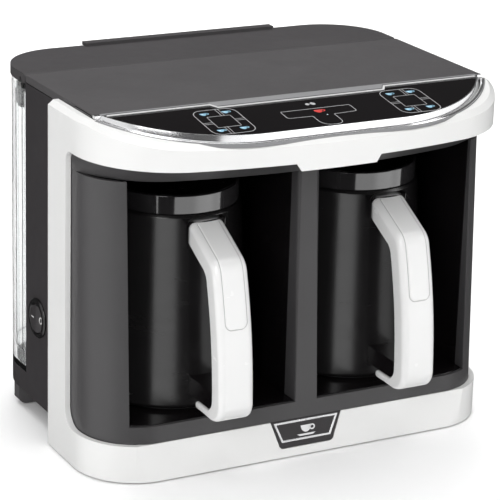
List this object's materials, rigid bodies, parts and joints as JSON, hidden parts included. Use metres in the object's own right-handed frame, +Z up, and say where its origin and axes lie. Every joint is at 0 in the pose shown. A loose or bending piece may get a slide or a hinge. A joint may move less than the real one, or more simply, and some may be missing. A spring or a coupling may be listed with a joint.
{
  "type": "electric coffee maker",
  "caption": "Free-standing electric coffee maker: pots in dark niches under a sloping touch panel, white C-shaped front frame, water tank across the back and a round rocker switch on the side.",
  "frame": {"origin": "centre of the footprint on the table, z = 0 at the feet", "axes": "+X to the right seen from the front, +Y to the back, +Z up"},
  "size_m": [0.266, 0.207, 0.2145],
  "materials": {
    "white_gloss": "glossy white ABS",
    "black_matte": "fine-grained matte black",
    "black_satin": "satin black",
    "black_gloss": "polished black",
    "panel_glass": "black-backed glass",
    "bright_trim": "satin chrome",
    "pot_coat": "dark satin coating",
    "bare_steel": "brushed",
    "rubber": "matte",
    "tank_clear": "clear, slightly smoked plastic",
    "board": "solder mask",
    "brass": "plain",
    "silicone": "translucent",
    "led": "clear epoxy"
  },
  "bodies": {
    "machine": {"front_frame": "white_gloss", "base_tray": "black_matte", "rubber_feet": "rubber", "side_panel_left": "black_satin", "side_panel_right": "black_satin", "rear_bulkhead": "black_matte", "tank_dock": "black_satin", "dock_seal": "silicone", "top_cover": "black_matte", "side_inlays": "black_gloss", "chrome_trim": "bright_trim", "control_glass": "panel_glass", "touch_board": "board", "touch_springs": "brass", "indicator_leds": "led", "head_underside": "black_satin", "fascia": "black_satin", "niche_liner_left": "black_gloss", "niche_liner_right": "black_gloss", "base_deck": "black_satin", "heater_plate_left": "bare_steel", "heater_plate_right": "bare_steel", "heater_coil_left": "bare_steel", "heater_coil_right": "bare_steel", "temperature_sensors": "bare_steel", "foam_sensors": "black_gloss", "spouts": "bare_steel", "pump_left": "bare_steel", "pump_right": "bare_steel", "suction_tubes": "silicone", "delivery_tubes": "silicone", "power_board": "board", "switch_body": "black_matte", "cord_gland": "rubber", "badge_plate": "black_gloss", "badge_rim": "bright_trim", "base_screws": "bare_steel"},
    "rocker": {"switch_rocker": "black_gloss"},
    "water_tank": {"water_tank": "tank_clear", "tank_clips": "black_matte", "valve_housing": "white_gloss", "lid_hinge_pins": "bare_steel", "valve_spring": "bare_steel"},
    "valve_plunger": {"valve_plunger": "rubber"},
    "tank_lid": {"tank_lid": "black_matte"},
    "pot_left": {"pot_left_body": "pot_coat", "pot_left_collar": "black_gloss", "pot_left_base_disc": "bare_steel", "pot_left_handle": "white_gloss", "pot_left_handle_panel": "white_gloss", "pot_left_handle_liner": "black_gloss", "pot_left_brackets": "black_gloss"},
    "pot_right": {"pot_right_body": "pot_coat", "pot_right_collar": "black_gloss", "pot_right_base_disc": "bare_steel", "pot_right_handle": "white_gloss", "pot_right_handle_panel": "white_gloss", "pot_right_handle_liner": "black_gloss", "pot_right_brackets": "black_gloss"}
  },
  "joints": [
    {"name": "pot_left_slide", "type": "slide", "parent": "machine", "child": "pot_left", "axis": [0, -1, 0], "range_m": [0, 0.14]},
    {"name": "pot_right_slide", "type": "slide", "parent": "machine", "child": "pot_right", "axis": [0, -1, 0], "range_m": [0, 0.14]},
    {"name": "tank_lift", "type": "slide", "parent": "machine", "child": "water_tank", "axis": [0, 0, 1], "range_m": [0, 0.2]},
    {"name": "tank_lid_hinge", "type": "hinge", "parent": "water_tank", "child": "tank_lid", "pos_m": [0, 0.0505, 0.2095], "axis": [1, 0, 0], "range_deg": [0, 80]},
    {"name": "valve_lift", "type": "slide", "parent": "water_tank", "child": "valve_plunger", "axis": [0, 0, 1], "range_m": [0, 0.003], "stiffness_N_per_m": 150, "springref_m": -0.002, "deforming": ["valve_spring"]},
    {"name": "rocker_tilt", "type": "hinge", "parent": "machine", "child": "rocker", "pos_m": [-0.1215, 0.0283, 0.068], "axis": [0, 0, 1], "range_deg": [-16, 0]}
  ]
}
